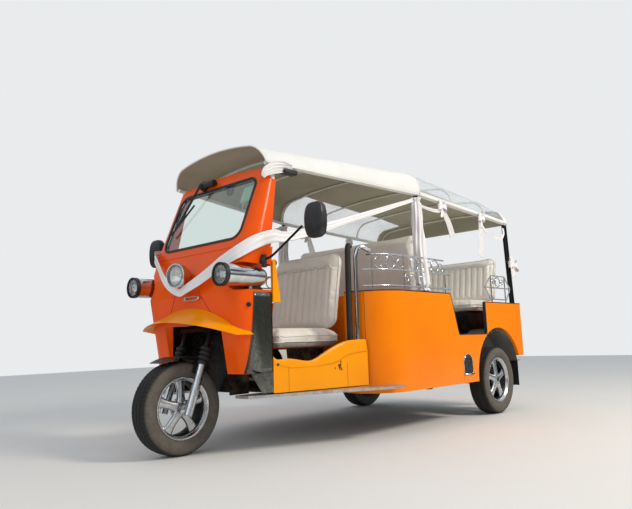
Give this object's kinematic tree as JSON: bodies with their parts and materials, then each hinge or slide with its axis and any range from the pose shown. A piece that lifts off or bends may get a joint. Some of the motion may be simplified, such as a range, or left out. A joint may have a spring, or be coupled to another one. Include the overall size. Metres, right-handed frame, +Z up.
{
  "type": "auto rickshaw",
  "caption": "Long auto rickshaw: one steered front wheel, two rear wheels, open-sided tub with facing benches under a crowned canvas roof.",
  "frame": {"origin": "on the ground, at the middle of the vehicle's bounding box", "axes": "+X to the front, +Y to the vehicle's left, +Z up"},
  "size_m": [3.34, 1.718, 1.8749],
  "materials": {
    "orange_paint": "gloss enamel",
    "amber_paint": "gloss enamel",
    "frame_black": "satin chassis paint",
    "floor_grey": "worn sheet",
    "black_metal": "gloss black",
    "white_metal": "white powder coat",
    "window_glass": "clear",
    "clear_vinyl": "clear sheet",
    "black_rubber": "moulded",
    "tyre_rubber": "worn tread",
    "black_plastic": "moulded",
    "polished_steel": "polished",
    "bright_plate": "mill finish",
    "chrome_plate": "plated",
    "alloy_silver": "painted alloy",
    "cast_metal": "cast",
    "cream_vinyl": "pleated vinyl",
    "white_canvas": "coated canvas",
    "red_lens": "moulded lens",
    "plate_white": "blank",
    "white_ribbon": "satin"
  },
  "bodies": {
    "chassis": {"chassis_frame": "frame_black", "floor_pan": "floor_grey", "cowl": "orange_paint", "wheel_housing": "frame_black", "windscreen_frame": "orange_paint", "windscreen_glass": "window_glass", "windscreen_gasket": "black_rubber", "fender_peak": "amber_paint", "kick_strips": "polished_steel", "dashboard": "black_plastic", "lamp_shells": "chrome_plate", "lamp_rims": "black_plastic", "lamp_lenses": "window_glass", "mirror_arms": "black_metal", "mirror_heads": "black_plastic", "wiper": "black_metal", "tub_sides": "orange_paint", "tub_walls": "orange_paint", "wheel_arches": "frame_black", "mud_flaps": "black_rubber", "sill_panels": "orange_paint", "door_wedges": "orange_paint", "running_boards": "bright_plate", "seat_cushions": "cream_vinyl", "seat_backs": "cream_vinyl", "seat_bases": "frame_black", "canopy_front": "white_canvas", "canopy_rear": "white_canvas", "clear_strips": "clear_vinyl", "roof_frame": "white_metal", "roof_posts": "black_metal", "grab_poles": "chrome_plate", "side_railings": "black_metal", "rear_axle": "frame_black", "leaf_springs": "frame_black", "power_unit": "cast_metal", "tail_lamps": "red_lens", "number_plate": "plate_white", "ribbons": "white_ribbon"},
    "fork": {"fork_legs": "alloy_silver", "fork_gaiters": "black_rubber", "fork_crown": "black_metal", "handlebar": "chrome_plate", "hand_grips": "black_rubber", "inner_mudguard": "black_plastic"},
    "front_wheel": {"front_tyre": "tyre_rubber", "front_rim": "alloy_silver"},
    "rear_left_wheel": {"rear_left_tyre": "tyre_rubber", "rear_left_rim": "alloy_silver"},
    "rear_right_wheel": {"rear_right_tyre": "tyre_rubber", "rear_right_rim": "alloy_silver"}
  },
  "joints": [
    {"name": "steering", "type": "hinge", "parent": "chassis", "child": "fork", "pos_m": [1.405, 0, 0.265], "axis": [-0.3322, 0, 0.9432], "range_deg": [-40, 40]},
    {"name": "front_wheel_spin", "type": "hinge", "parent": "fork", "child": "front_wheel", "pos_m": [1.405, 0, 0.265], "axis": [0, 1, 0], "continuous": true},
    {"name": "rear_left_spin", "type": "hinge", "parent": "chassis", "child": "rear_left_wheel", "pos_m": [-1.165, 0.67, 0.265], "axis": [0, 1, 0], "continuous": true},
    {"name": "rear_right_spin", "type": "hinge", "parent": "chassis", "child": "rear_right_wheel", "pos_m": [-1.165, -0.67, 0.265], "axis": [0, 1, 0], "continuous": true}
  ]
}
